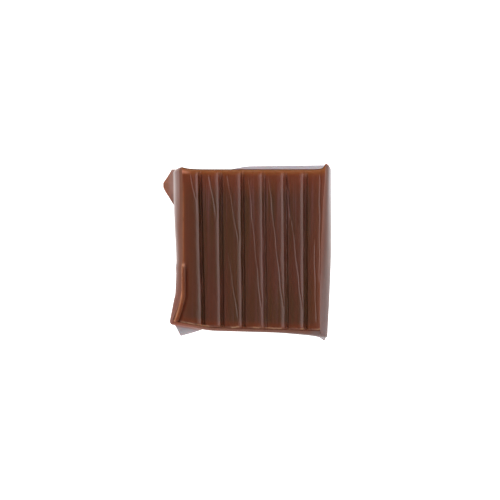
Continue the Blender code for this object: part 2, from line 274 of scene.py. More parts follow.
MOTTLE_COARSE = ((420.0, 110.0, 200.0), 3.0)
MOTTLE_FINE = ((2600.0, 70.0, 400.0), 2.0)
MOTTLE_COARSE_SHARE = 0.5
MOTTLE_WINDOW = (0.38, 0.62)
STREAK_NOISE = ((4200.0, 55.0, 400.0), 3.0)
STREAK_WINDOW = (0.50, 0.66)
STREAK_SHARE = 0.20
STREAK_BACK_SHARE = 0.60       # how much more of the streaks shows at the back
STREAK_BACK = (1.0 * MM, 9.0 * MM)
OUTER_LEFT = 2.4 * MM          # the outer ribs are warmer, over this width
OUTER_RIGHT = 2.2 * MM
OUTER_SHARE = 0.7
RIM_LEFT = 0.50 * MM
RIM_RIGHT = 0.40 * MM
RIM_RIGHT_SHARE = 0.3
RIM_LINE_INSET = 0.08 * MM
RIM_LINE_WIDTH = 0.13 * MM
RIM_LINE_NOISE = ((300.0, 500.0, 300.0), 3.0)
RIM_LINE_WINDOW = (0.30, 0.55)
RIM_LINE_SHARE = 0.8

END_BACK = 4.2 * MM            # how far the red reaches in from the cuts
END_FRONT = 1.2 * MM
# how far the painted orange glow of light through the cut reaches in
ORANGE_REACH = 0.95 * MM
BACK_EDGE_REACH = 0.16 * MM
BACK_EDGE_SHARE = 0.8
CREAM_INSET = 0.08 * MM        # the painted glint line along the cut edge
CREAM_INSET_MORE = 0.10 * MM
CREAM_INSET_WINDOW = (-8.0 * MM, 3.0 * MM)
CREAM_WANDER = 0.30 * MM
CREAM_WANDER_NOISE = ((1300.0, 200.0, 200.0), 2.0)
CREAM_WIDTH = 0.15 * MM
CREAM_LESS_AT_BACK = 0.75
CREAM_NOISE = ((900.0, 200.0, 200.0), 3.0)
CREAM_WINDOW = (0.40, 0.62)
CREAM_SHARE = 0.8
SALMON_WIDTH = 1.3 * MM        # the painted highlight patch at the back left corner
SALMON_INSET = 0.42 * MM
SALMON_LENGTH = 0.32 * MM
SALMON_SHARE = 0.75

LIP_SHADOW_INSET = 0.62 * MM
LIP_SHADOW_WIDTH = 0.36 * MM
LIP_ORANGE_INSET = 0.22 * MM
LIP_ORANGE_WIDTH = 0.34 * MM
LIP_CREST_OUTSET = 0.01 * MM
LIP_CREST_WIDTH = 0.15 * MM
BEAD_LEAST = 0.5
BEAD_SPAN = 0.5
BEAD_NOISE = ((1200.0, 1500.0, 400.0), 2.0)
BEAD_WINDOW = (0.35, 0.6)
KNOB_TINT_Y = KNOB_Y + 0.37 * MM

RIM_TINT = (HEIGHT - 0.8 * MM, HEIGHT)
FRONT_RIM = (-9.4 * MM, -8.8 * MM)
FRONT_RIM_SHARE = 0.8
FRONT_RIGHT_X = (7.5 * MM, 9.0 * MM)
FRONT_RIGHT_Y = (-10.0 * MM, 2.0 * MM)
FRONT_RIGHT_SHARE = 0.8

GREY_BAND_FOOT = (7.5 * MM, 12.2 * MM)     # the painted reflection: a grey band of the wall above the ear
GREY_BAND_HEAD = (12.5 * MM, 12.7 * MM)
GREY_BAND_X = (-8.2 * MM, -7.9 * MM)
GREY_BAND_Y = (2.0 * MM, 8.5 * MM)
GREY_BAND_SHARE = 0.6
ON_EAR_X = (-9.5 * MM, -8.9 * MM)
ON_EAR_Y = (4.0 * MM, 5.0 * MM)
EAR_TIP_X = (-10.3 * MM, -9.5 * MM)
EAR_GREY_Y = (6.5 * MM, 8.5 * MM)
FRONT_FOOT_X = (3.5 * MM, 8.0 * MM)        # the pale foot of the front right corner
FRONT_FOOT_Y = (-10.8 * MM, -8.8 * MM)
FRONT_FOOT_Z = (0.2 * MM, 2.4 * MM)
FRONT_FOOT_SHARE = 0.6
BACK_SHEEN_X = (9.6 * MM, 10.4 * MM)        # the painted sheen on the right flank towards the back
BACK_SHEEN_Y = (3.0 * MM, 9.0 * MM)
BACK_SHEEN_Z = (11.2 * MM, 12.3 * MM)
BACK_SHEEN_SHARE = 0.45

# How dull each place is, as a share of the full range of roughness.
ROUGHNESS_LEAST = 0.27
ROUGHNESS_MOTTLE = 0.10
ROUGHNESS_RANGE = 0.42
GLOSS_NOISE = ((500.0, 500.0, 500.0), 2.0)
DULL_RIM = (HEIGHT - 1.2 * MM, HEIGHT - 0.3 * MM)
DULL_RIM_SHARE = 0.8
DULL_LIP_WALL_SHARE = 0.9
DULL_EAR_X = (-9.6 * MM, -8.9 * MM)
DULL_EAR_Z = (5.0 * MM, 11.5 * MM)
DULL_EAR_SHARE = 1.6
DULL_LIP_WIDTH = 0.55 * MM
DULL_END_WIDTH = 0.5 * MM
DULL_END_SHARE = 0.9

# Fine streaks and grain that are too small for the mesh.
BUMP_STREAKS = ((5200.0, 120.0, 1500.0), 3.0)
BUMP_GRAIN = ((2600.0, 2600.0, 2600.0), 2.0)
BUMP_STREAK_SHARE = 0.15
BUMP_STREAK_TOP_SHARE = 0.65
BUMP_GRAIN_SHARE = 0.15
BUMP_STRENGTH = 0.6
BUMP_DISTANCE = 0.04 * MM

# How far light goes into the caramel.
TRANSLUCENCE = 0.35
LIGHT_REACH = (1.0, 0.35, 0.18)
LIGHT_SCALE = 0.6 * MM
REFRACTION = 1.45

# Studio.
FLOOR_HALF_SIZE = 1.5
FLOOR_DROP = 0.02 * MM
FLOOR_GREY = (0.25, 0.25, 0.25, 1.0)
FLOOR_ROUGHNESS = 0.9
FLOOR_GLOW = 1.45
WHITE = (1.0, 1.0, 1.0, 1.0)
SKY_GREY = (0.09, 0.09, 0.09, 1.0)
SKY_WINDOW = (0.05, 0.42)      # where the sky dims, as the height of its direction

# Each soft light: its place, its two sizes, its power and its colour.
LIGHTS = {
    "key_softbox": ((0.42, 0.05, 0.36), (0.45, 0.5), 1.9, (1.0, 0.91, 0.93)),
    "front_softbox": ((0.0, -0.48, 0.34), (0.5, 0.4), 2.0, (1.0, 1.0, 1.0)),
    "back_softbox": ((0.0, 0.48, 0.34), (0.5, 0.4), 2.0, (1.0, 1.0, 1.0)),
    "left_softbox": ((-0.50, 0.0, 0.30), (0.4, 0.5), 0.30, (0.98, 0.99, 1.0)),
}

# Camera: straight above, at the distance where the block takes a third of the view.
CAMERA_HEIGHT = 0.360
CAMERA_X = -0.258 * MM
CAMERA_Y = 0.0
VIEW_WIDTH = 64.5 * MM
SENSOR = 36.0
VIEW_START = 0.01
VIEW_END = 10.0


# ------------------------------------------------------------------ shape rules
def ease(value):
    t = np.clip(value, 0.0, 1.0)
    return t * t * (3.0 - 2.0 * t)


def share(value):
    return np.clip(value, 0.0, 1.0)


def mix(start, end, t):
    return start + (end - start) * t


def soft_run(value, power):
    """A power curve from 0 to 1 that sets off in a bend, without a kink."""
    bent = np.hypot(share(value), SOFT_START) - SOFT_START
    return (bent / (math.hypot(1.0, SOFT_START) - SOFT_START)) ** power


def hill(offset, half_width):
    return 1.0 - ease(np.abs(offset) / half_width)


def lip_start(y):
    return ease((LIP_START_Y - y) / LIP_RUN_IN)


def warm_wall(x, y):
    """How far a wall point belongs to the warmer corner below the horn."""
    near_left = ease((WARM_WALL_RIGHT - x) / WARM_WALL_WIDTH)
    return near_left * ease((WARM_WALL_BACK - y) / WARM_WALL_LENGTH)


def left_rim(y):
    horn = share((HORN_START_Y - y) / (HORN_START_Y - TOP_FRONT)) ** HORN_POWER
    end = share((TOP_FRONT + HORN_ROUND - y) / HORN_ROUND)
    blunt = HORN_BLUNT * (1.0 - np.sqrt(1.0 - end * end))
    return TOP_LEFT - LIP_OUT * lip_start(y) - HORN_REACH * horn + blunt


def right_rim(y):
    run = (y - RIGHT_FLARE_FROM) / (TOP_BACK - RIGHT_FLARE_FROM)
    return TOP_RIGHT + RIGHT_FLARE * soft_run(run, RIGHT_FLARE_POWER)


def front_rim(x):
    corner = soft_run((FRONT_CORNER_X - x) / FRONT_CORNER_RUN, FRONT_CORNER_POWER)
    return TOP_FRONT - FRONT_SLANT * x + FRONT_CORNER_RISE * corner


def crease_cut(x, y):
    """Each crease has a soft left bank and a steep right bank, like a small groove."""
    cut = np.zeros_like(x)
    for start_x, start_y, end_x, end_y, depth in CREASES:
        along = (start_y - y) / (start_y - end_y)
        wave = CREASE_WAVE * np.sin(y / CREASE_WAVE_RUN + start_x / CREASE_WAVE_SHIFT)
        offset = x - mix(start_x, end_x, along) - wave
        left = share(1.0 + offset / CREASE_LEFT_BANK) ** CREASE_BANK_POWER
        right = share(1.0 - offset / CREASE_RIGHT_BANK)
        ends = np.minimum(start_y - y, y - end_y) / CREASE_RUN_OUT
        swing = np.sin(y / CREASE_DEPTH_RUN + start_x / CREASE_DEPTH_SHIFT)
        varied = depth * (CREASE_DEPTH_MEAN + CREASE_DEPTH_SWING * swing)
        cut = np.maximum(cut, varied * ease(ends) * np.where(offset < 0.0, left, right))
    return cut


def lip_rise(x, y):
    inset = x - left_rim(y)
    rise = LIP_HEIGHT * hill(inset - LIP_INSET, LIP_WIDTH)
    crease = LIP_CREASE_DEPTH * hill(inset - LIP_CREASE_INSET, LIP_CREASE_HALF_WIDTH)
    knob = KNOB_HEIGHT * hill(np.hypot(inset - LIP_INSET, y - KNOB_Y), KNOB_RADIUS)
    return lip_start(y) * (rise - crease) + knob


def rounding(distance, radius):
    """How far a rounded edge drops at a distance inside it."""
    gap = share(1.0 - distance / radius)
    return radius * (1.0 - np.sqrt(1.0 - gap * gap))


def ear(y, z):
    back = share(1.0 - (y - EAR_TIP_Y) / EAR_BACK_RUN)
    front = np.exp(-((EAR_TIP_Y - y) / EAR_FRONT_RUN) ** 2)
    return EAR_REACH * np.where(y > EAR_TIP_Y, back, front) * np.exp(-z / EAR_HEIGHT)


def bulge(z, drop):
    """Share of its full swell that a wall has reached at height z."""
    return math.tanh((HEIGHT - z) / drop)


def foot_tuck(z):
    return FOOT_ROUND * (1.0 - ease(z / FOOT_HEIGHT))


def left_swell(y, z):
    waist = WAIST * np.exp(-((y - WAIST_Y) / WAIST_RUN) ** 2)
    flare = TOP_LEFT - left_rim(y)
    full = np.maximum(SWELL_LEFT - waist - HORN_SHARE * flare, 0.0)
    corner = share((y - TOP_BACK + CORNER_ROUND) / CORNER_ROUND)
    full = full * mix(1.0, np.sqrt(1.0 - corner ** 2), ease(z / CORNER_LEVEL))
    tuck = foot_tuck(z) * share(1.0 - ear(y, 0.0) / EAR_MERGE)
    return full * bulge(z, SWELL_LEFT_DROP) - tuck


def right_swell(y, z):
    full = SWELL_RIGHT - (right_rim(y) - TOP_RIGHT)
    full = full - PINCH * soft_run((PINCH_FROM - y) / PINCH_RUN, PINCH_POWER)
    return full * bulge(z, SWELL_RIGHT_DROP) - foot_tuck(z)


def film_profile(z):
    return math.exp(-max(z - FILM_THICKNESS, 0.0) / FILM_FILLET)


def front_film(x, z):
    rise = share((x - FRONT_FILM_LEFT) / (FRONT_FILM_PEAK - FRONT_FILM_LEFT))
    fall = share((FRONT_FILM_RIGHT - x) / (FRONT_FILM_RIGHT - FRONT_FILM_PEAK))
    fall = fall ** FRONT_FILM_POWER
    return FRONT_FILM_REACH * np.where(x < FRONT_FILM_PEAK, rise, fall) * film_profile(z)


def front_wall(x, z):
    """How far the front wall stands out below its rim, but for the film."""
    run = (x - FLANGE_START) / (FLANGE_END - FLANGE_START)
    flare = FLANGE_REACH * soft_run(run, FLANGE_POWER) * bulge(z, FLANGE_DROP)
    return FRONT_LEAN * (1.0 - z / HEIGHT) + FRONT_SWELL * bulge(z, FRONT_SWELL_DROP) + flare


def back_film(x, z):
    run = ease((x - BACK_FILM_LEFT) / (BACK_FILM_FULL - BACK_FILM_LEFT))
    reach = BACK_FILM_REACH + BACK_FILM_GROWTH * x
    return reach * run * film_profile(z)


def dragged(x, y, z, rim_x, rim_y):
    """Move points by the corners that the knife dragged."""
    moved_x, moved_y = x.copy(), y.copy()
    for corner_x, corner_y, drag_x, drag_y, reach, level, spread in DRAGS:
        distance = np.hypot(rim_x - corner_x, rim_y - corner_y)
        pull = np.exp(-distance / reach) * np.exp(-((z - level) / spread) ** 2)
        moved_x += drag_x * pull
        moved_y += drag_y * pull
    return moved_x, moved_y


# ------------------------------------------------------------------ the block's mesh
def crowded(steps, crowding):
    """Even steps from 0 to 1, crowded towards both ends."""
    t = np.arange(steps) / steps
    return t - crowding * np.sin(2.0 * math.pi * t) / (2.0 * math.pi)


def wall_levels():
    """Heights of the wall loops: close together at the rim and at the base."""
    under_rim = np.linspace(UNDER_RIM_FIRST, 1.0, UNDER_RIM_LOOPS) ** UNDER_RIM_CROWDING
    under_rim = HEIGHT - UNDER_RIM_DEPTH * under_rim
    flank = np.linspace(HEIGHT - FLANK_DROP, FLANK_END, FLANK_LOOPS)
    foot = np.linspace(FOOT_START, FILM_THICKNESS, FOOT_LOOPS)
    edge = FILM_THICKNESS * FILM_STEPS
    return np.concatenate([under_rim, flank, foot, edge])


def top_grid():
    """Place, and the numbers that the pressed ribs need, at each point of the top face."""
    ribs = len(GROOVES) + 1
    steps = crowded(STEPS_PER_RIB, GROOVE_CROWDING)
    columns = np.concatenate([rib + steps for rib in range(ribs)] + [[float(ribs)]])
    rows = np.append(crowded(ROW_STEPS, END_CROWDING), 1.0)
    column, along = np.meshgrid(columns, rows, indexing="ij")
    level_y = mix(TOP_FRONT, TOP_BACK, rows)
    lines = [left_rim(level_y)]
    lines += [mix(front, back, rows) for back, front, _, _ in GROOVES]
    lines += [right_rim(level_y)]
    lines = np.array(lines)
    rib = np.minimum(column.astype(int), ribs - 1)
    place = np.arange(len(rows))[None, :]
    left, right = lines[rib, place], lines[rib + 1, place]
    x = mix(left, right, column - rib)
    y = mix(front_rim(x), TOP_BACK, along)
    end_gap = np.minimum(y - front_rim(x), TOP_BACK - y)
    z = HEIGHT - crease_cut(x, y) * ease(end_gap / RIB_FADE) + lip_rise(x, y)
    z -= rounding(end_gap, CUT_EDGE_ROUND)
    nearest = np.rint(column).astype(int)
    depths = np.array([0.0] + [depth for _, _, depth, _ in GROOVES] + [0.0])
    ridges = np.array([0.0] + [ridge for _, _, _, ridge in GROOVES] + [0.0])
    return {
        "x": x, "y": y, "z": z, "along": along, "rib": column,
        "rib_width": right - left, "end_gap": end_gap,
        "groove_depth": depths[nearest], "groove_ridge": ridges[nearest],
        "left_gap": x - left_rim(y), "right_gap": right_rim(y) - x,
    }


def rim_loop(columns, rows):
    """Column and row of every rim point, once around, seen from above."""
    front = [(i, 0) for i in range(columns - 1)]
    right = [(columns - 1, j) for j in range(rows - 1)]
    back = [(i, rows - 1) for i in range(columns - 1, 0, -1)]
    left = [(0, j) for j in range(rows - 1, 0, -1)]
    return np.array(front + right + back + left)


def wall_loop(top, loop, z):
    """One loop of the wall at height z, with how thin the caramel is there."""
    i, j = loop[:, 0], loop[:, 1]
    x, y, along = top["x"][i, j], top["y"][i, j], top["along"][i, j]
    across = share((x - left_rim(y)) / (right_rim(y) - left_rim(y)))
    ear_reach = ear(y, z) * (1.0 - across)
    wall_x = x - left_swell(y, z) * (1.0 - across) - ear_reach
    wall_x = wall_x + right_swell(y, z) * across
    front = front_film(wall_x, z) * (1.0 - along)
    back = back_film(wall_x, z) * along
    wall_y = y - front_wall(wall_x, z) * (1.0 - along) - front + BACK_LEAN * along + back
    wall_x, wall_y = dragged(wall_x, wall_y, z, x, y)
    thin = share((front + back) / THIN_REACH)
    thin = np.maximum(thin, EAR_THINNESS * share(ear_reach / THIN_REACH))
    return wall_x, wall_y, thin


def quads_between(upper, lower):
    """Faces that join two loops of vertex numbers."""
    return np.stack([upper, lower, np.roll(lower, -1), np.roll(upper, -1)], axis=1)


def wall_loops(top, loop):
    """The places of every loop of the walls and the underside, each with how thin it is."""
    loops = []
    for z in wall_levels():
        x, y, film = wall_loop(top, loop, z)
        loops.append((np.stack([x, y, np.full(len(loop), z)], axis=-1), film))
    outline, film = loops[-1]
    rim_x, rim_y = top["x"][loop[:, 0], loop[:, 1]], top["y"][loop[:, 0], loop[:, 1]]
    inner = np.stack([rim_x, rim_y, np.zeros(len(loop))], axis=-1)
    inner = inner * (1.0 - UNDERSIDE_INSET / (TOP_BACK - TOP_FRONT))
    for t in UNDERSIDE_STEPS:
        loops.append((mix(outline, inner, t), film * (1.0 - t)))
    return loops


def point_numbers(top, loops):
    """The numbers that each point of the mesh carries for the ribs and the finish."""
    walls = sum(len(place) for place, _ in loops)
    on_walls = {"rib": 0.0, "rib_width": 1.0, "end_gap": 0.0, "groove_depth": 0.0,
                "groove_ridge": 0.0, "left_gap": 0.0, "right_gap": 0.0}
    flat = np.zeros(top["x"].size)
    numbers = {"thin": np.concatenate([flat] + [film for _, film in loops])}
    lip = np.where(top["left_gap"] < LIP_MARK_WIDTH, lip_start(top["y"]), 0.0)
    warm = [warm_wall(place[:, 0], place[:, 1]) for place, _ in loops]
    numbers["lip"] = np.concatenate([lip.ravel()] + warm)
    numbers["top_face"] = np.concatenate([flat + 1.0, np.zeros(walls)])
    for name, value in on_walls.items():
        numbers[name] = np.concatenate([top[name].ravel(), np.full(walls, value)])
    return numbers


def block_mesh():
    """The caramel as one closed mesh, its ribs not yet pressed in."""
    top = top_grid()
    columns, rows = top["x"].shape
    number = np.arange(columns * rows).reshape(columns, rows)
    top_x, top_y = dragged(top["x"], top["y"], top["z"], top["x"], top["y"])
    points = [np.stack([top_x, top_y, top["z"]], axis=-1).reshape(-1, 3)]
    corners = [number[:-1, :-1], number[1:, :-1], number[1:, 1:], number[:-1, 1:]]
    faces = [np.stack(corners, axis=-1).reshape(-1, 4)]
    loop = rim_loop(columns, rows)
    loops = wall_loops(top, loop)
    upper = number[loop[:, 0], loop[:, 1]]
    for step, (place, _) in enumerate(loops):
        lower = columns * rows + step * len(loop) + np.arange(len(loop))
        points.append(place)
        faces.append(quads_between(upper, lower))
        upper = lower
    points = np.concatenate(points)
    faces = [tuple(face) for face in np.concatenate(faces).tolist()]
    faces.append(tuple(upper[::-1].tolist()))
    data = bpy.data.meshes.new("caramel_piece")
    data.from_pydata(points.tolist(), [], faces)
    for name, values in point_numbers(top, loops).items():
        attribute = data.attributes.new(name, "FLOAT", "POINT")
        attribute.data.foreach_set("value", values.astype(np.float32))
    data.update()
    return data


# ------------------------------------------------------------------ node wiring
class Wire:
    """One output socket. Arithmetic on wires adds Math nodes to the tree."""

    def __init__(self, tree, socket):
        self.tree = tree
        self.socket = socket

    def math(self, operation, *values):
        node = add(self.tree, "ShaderNodeMath", {"operation": operation}, dict(enumerate(values)))
        return node[0]

    def __add__(self, other):
        return self.math("ADD", self, other)

    def __radd__(self, other):
        return self.math("ADD", other, self)

    def __sub__(self, other):
        return self.math("SUBTRACT", self, other)

    def __rsub__(self, other):
        return self.math("SUBTRACT", other, self)

    def __mul__(self, other):
        return self.math("MULTIPLY", self, other)

    def __rmul__(self, other):
        return self.math("MULTIPLY", other, self)

    def __truediv__(self, other):
        return self.math("DIVIDE", self, other)

    def __pow__(self, other):
        return self.math("POWER", self, other)

    def above(self, other):
        return self.math("GREATER_THAN", self, other)

    def larger(self, other):
        return self.math("MAXIMUM", self, other)

    def smaller(self, other):
        return self.math("MINIMUM", self, other)

    def fraction(self):
        return self.math("FRACT", self)

    def size(self):
        return self.math("ABSOLUTE", self)

    def eased(self, low, high):
        """0 below low, 1 above high and a smooth step between."""
        settings = {"interpolation_type": "SMOOTHSTEP"}
        links = {"Value": self, "From Min": low, "From Max": high}
        return add(self.tree, "ShaderNodeMapRange", settings, links)[0]

    def faded(self, low, high):
        """1 below low, 0 above high and a smooth step between."""
        return 1.0 - self.eased(low, high)


class Outputs:
    """The wires that leave one node, by name or number."""

    def __init__(self, tree, node):
        self.tree = tree
        self.node = node

    def __getitem__(self, key):
        return Wire(self.tree, self.node.outputs[key])


def add(tree, kind, settings=None, inputs=None):
    """Add a node: its settings first, then the values or links of its sockets."""
    node = tree.nodes.new(kind)
    for name, value in (settings or {}).items():
        setattr(node, name, value)
    for key, value in (inputs or {}).items():
        if isinstance(value, Wire):
            tree.links.new(value.socket, node.inputs[key])
        else:
            node.inputs[key].default_value = value
    return Outputs(tree, node)


def blend_colour(tree, factor, first, second):
    """Mix of two colours, each a wire or four numbers."""
    links = {0: factor, 6: first, 7: second}
    return add(tree, "ShaderNodeMix", {"data_type": "RGBA"}, links)[2]


def stretched_noise(tree, place, stretch, detail):
    """Noise that runs at its own number of cycles per metre in x, y and z."""
    links = {0: place, 1: stretch}
    drawn = add(tree, "ShaderNodeVectorMath", {"operation": "MULTIPLY"}, links)[0]
    links = {"Vector": drawn, "Scale": 1.0, "Detail": detail}
    return add(tree, "ShaderNodeTexNoise", {}, links)[0]


# ------------------------------------------------------------------ pressing the ribs
def rib_tree(material):
    """Geometry nodes that press the grooves and crown the ribs of the top face."""
    tree = bpy.data.node_groups.new("press_ribs", "GeometryNodeTree")
    face = tree.interface
    face.new_socket(name="Geometry", in_out="INPUT", socket_type="NodeSocketGeometry")
    sizes = {
        "Half width": VALLEY_HALF_WIDTH,
        "Valley wall": VALLEY_WALL,
        "Left shoulder": LEFT_SHOULDER,
        "Left run": LEFT_SHOULDER_RUN,
        "Right shoulder": RIGHT_SHOULDER,
        "Right run": RIGHT_SHOULDER_RUN,
        "Deep groove": DEEP_GROOVE,
        "Ridge half width": RIDGE_HALF_WIDTH,
        "Rib crown": RIB_CROWN,
        "Fade": RIB_FADE,
        "Valley fade": VALLEY_FADE,
        "Front fade": FRONT_FADE,
        "Burr height": BURR_HEIGHT,
        "Burr gap": BURR_GAP,
        "Drag depth": DRAG_DEPTH,
        "Wander": GROOVE_WANDER,
    }
    for name in sizes:
        face.new_socket(name=name, in_out="INPUT", socket_type="NodeSocketFloat")
    face.new_socket(name="Geometry", in_out="OUTPUT", socket_type="NodeSocketGeometry")
    given = add(tree, "NodeGroupInput")
    position = add(tree, "GeometryNodeInputPosition")[0]

    def named(name):
        settings = {"data_type": "FLOAT"}
        return add(tree, "GeometryNodeInputNamedAttribute", settings, {"Name": name})["Attribute"]

    def noise(stretch, detail):
        return stretched_noise(tree, position, stretch, detail)

    gap = named("end_gap")
    behind = add(tree, "ShaderNodeSeparateXYZ", {}, {0: position})["Y"]
    behind = behind.eased(*FRONT_HALF)
    rib_fade = given["Front fade"] * (1.0 - behind) + given["Fade"] * behind
    valley_fade = given["Front fade"] * (1.0 - behind) + given["Valley fade"] * behind
    within = named("rib").fraction()
    on_left = within.above(0.5)
    from_left = within * named("rib_width")
    from_right = (1.0 - within) * named("rib_width")
    offset = from_left * (1.0 - on_left) - from_right * on_left
    offset = offset + (noise(*WANDER_NOISE) - NOISE_MEAN) * given["Wander"]
    depth = named("groove_depth")
    half = given["Half width"]
    left = (1.0 + (offset + half) / given["Left run"]).larger(0.0).smaller(1.0)
    left = left ** LEFT_SHOULDER_POWER
    right = (1.0 - (offset - half) / given["Right run"]).larger(0.0).smaller(1.0)
    right = right ** RIGHT_SHOULDER_POWER
    side = (offset / half).eased(-1.0, 1.0)
    shoulder = left * given["Left shoulder"] * (1.0 - side)
    shoulder = shoulder + right * given["Right shoulder"] * side
    valley = ((half - offset.size()) / given["Valley wall"]).eased(0.0, 1.0)
    varied = DEPTH_LEAST + DEPTH_SPAN * noise(*DEPTH_NOISE)
    full = SHALLOW_SHARE + (1.0 - SHALLOW_SHARE) * depth / given["Deep groove"]
    full = full * depth.above(0.0)
    open_end = (gap / valley_fade).eased(0.0, 1.0)
    groove = (shoulder * full + valley * depth * open_end) * varied
    ridge = 1.0 - (offset.size() / given["Ridge half width"]).eased(0.0, 1.0)
    ridge = ridge * named("groove_ridge") * noise(*RIDGE_NOISE).eased(*RIDGE_WINDOW)
    crown = within * (1.0 - within) * 4.0 * given["Rib crown"]
    pressed = (crown + ridge - groove) * (gap / rib_fade).eased(0.0, 1.0)
    drag = (noise(*DRAG_NOISE) - NOISE_MEAN) * given["Drag depth"]
    burr = 1.0 - ((gap - given["Burr gap"]).size() / given["Burr gap"]).eased(0.0, 1.0)
    burr = burr * given["Burr height"] * noise(*BURR_NOISE).eased(*BURR_WINDOW)
    relief = pressed + (drag + burr) * gap.above(0.0)
    lift = add(tree, "ShaderNodeCombineXYZ", {}, {"Z": relief * named("top_face")})[0]
    links = {"Geometry": given["Geometry"], "Offset": lift}
    raised = add(tree, "GeometryNodeSetPosition", {}, links)[0]
    whole = add(tree, "GeometryNodeRealizeInstances", {}, {"Geometry": raised})[0]
    links = {"Geometry": whole, "Material": material}
    finished = add(tree, "GeometryNodeSetMaterial", {}, links)[0]
    add(tree, "NodeGroupOutput", {}, {"Geometry": finished})
    return tree, sizes


def press_ribs(piece, material):
    """Run the rib tree once and keep its result as a plain mesh."""
    tree, sizes = rib_tree(material)
    modifier = piece.modifiers.new("press_ribs", "NODES")
    modifier.node_group = tree
    for item in tree.interface.items_tree:
        if item.in_out == "INPUT" and item.name in sizes:
            modifier[item.identifier] = sizes[item.name]
    depsgraph = bpy.context.evaluated_depsgraph_get()
    pressed = bpy.data.meshes.new_from_object(piece.evaluated_get(depsgraph))
    piece.modifiers.remove(modifier)
    piece.data = pressed


# ------------------------------------------------------------------ the caramel finish
def near(distance, reach):
    """1 at an edge, fading to 0 at its reach."""
    return 1.0 - (distance / reach).eased(0.0, 1.0)


class Surface:
    """The wires that the finish starts from: where a point is and what it was marked with."""

    def __init__(self, tree):
        self.tree = tree
        self.place = add(tree, "ShaderNodeTexCoord")["Object"]
        parts = add(tree, "ShaderNodeSeparateXYZ", {}, {0: self.place})
        self.x, self.y, self.z = parts["X"], parts["Y"], parts["Z"]
        self.top = self.marked("top_face")
        self.end_gap = self.marked("end_gap")
        self.left_gap = self.marked("left_gap")
        self.right_gap = self.marked("right_gap")
        self.lip = self.marked("lip")
        self.thin = self.marked("thin")
        self.rightward = self.x.eased(*LEFT_TO_RIGHT)
        self.backward = self.y.eased(*FRONT_TO_BACK)
        self.front_right = self.x.eased(*FRONT_RIGHT_X) * self.y.faded(*FRONT_RIGHT_Y)

    def marked(self, name):
        return add(self.tree, "ShaderNodeAttribute", {"attribute_name": name})["Fac"]

    def noise(self, stretch, detail):
        return stretched_noise(self.tree, self.place, stretch, detail)

    def tint(self, amount, under, over):
        return blend_colour(self.tree, amount, under, over)


def rib_colour(surface):
    """Mottled brown ribs with painted highlight streaks in lilac, warmer towards the rims, and a
    painted highlight line along the left rim.
    """
    mottle = surface.noise(*MOTTLE_COARSE) * MOTTLE_COARSE_SHARE
    mottle = mottle + surface.noise(*MOTTLE_FINE) * (1.0 - MOTTLE_COARSE_SHARE)
    colour = surface.tint(mottle.eased(*MOTTLE_WINDOW), DARK_BROWN, RED_BROWN)
    # painted highlight: lilac sheen streaks along the ribs, stronger at the back
    streaks = surface.noise(*STREAK_NOISE).eased(*STREAK_WINDOW)
    streaks = streaks * (STREAK_SHARE + STREAK_BACK_SHARE * surface.y.eased(*STREAK_BACK))
    colour = surface.tint(streaks, colour, STREAK_HIGHLIGHT_LILAC)
    outer = near(surface.left_gap, OUTER_LEFT).larger(near(surface.right_gap, OUTER_RIGHT))
    colour = surface.tint(outer * surface.top * OUTER_SHARE, colour, WARM_BROWN)
    right_rims = near(surface.right_gap, RIM_RIGHT) * RIM_RIGHT_SHARE
    rims = near(surface.left_gap, RIM_LEFT).larger(right_rims)
    colour = surface.tint(rims * surface.top, colour, RIM_BROWN)
    # painted highlight: a thin broken light line just inside the left rim
    line = near((surface.left_gap - RIM_LINE_INSET).size(), RIM_LINE_WIDTH) * surface.top
    line = line * surface.noise(*RIM_LINE_NOISE).eased(*RIM_LINE_WINDOW)
    return surface.tint(line * RIM_LINE_SHARE, colour, RIM_HIGHLIGHT_LINE)


def end_colour(surface, colour):
    """The top face near the two cuts: red, then a painted orange glow of light through the thin
    cut, with a painted glint line at the edge.
    """
    ends = near(surface.end_gap, END_BACK) * surface.backward
    ends = ends + near(surface.end_gap, END_FRONT) * (1.0 - surface.backward)
    colour = surface.tint(ends * surface.top, colour, END_RED)
    # painted glow: orange of light passing through the thin cut edges
    orange = surface.tint(surface.backward, FRONT_GLOW_ORANGE, EDGE_GLOW_ORANGE)
    colour = surface.tint(near(surface.end_gap, ORANGE_REACH) * surface.top, colour, orange)
    edge = near(surface.end_gap, BACK_EDGE_REACH) * surface.backward * surface.top
    colour = surface.tint(edge * BACK_EDGE_SHARE, colour, BACK_EDGE)
    # painted highlight: broken cream glints just inside the cut edge, weaker at the back
    inset = CREAM_INSET + CREAM_INSET_MORE * surface.x.eased(*CREAM_INSET_WINDOW)
    inset = inset + CREAM_WANDER * (surface.noise(*CREAM_WANDER_NOISE) - NOISE_MEAN)
    line = near((surface.end_gap - inset).size(), CREAM_WIDTH) * surface.top
    line = line * (1.0 - CREAM_LESS_AT_BACK * surface.backward)
    line = line * surface.noise(*CREAM_NOISE).eased(*CREAM_WINDOW)
    colour = surface.tint(line * CREAM_SHARE, colour, EDGE_GLINT_CREAM)
    # painted highlight: a pale salmon patch at the back left corner
    patch = near((surface.end_gap - SALMON_INSET).size(), SALMON_LENGTH)
    patch = patch * near(surface.left_gap, SALMON_WIDTH) * surface.backward * surface.top
    return surface.tint(patch * SALMON_SHARE, colour, CORNER_HIGHLIGHT_SALMON)


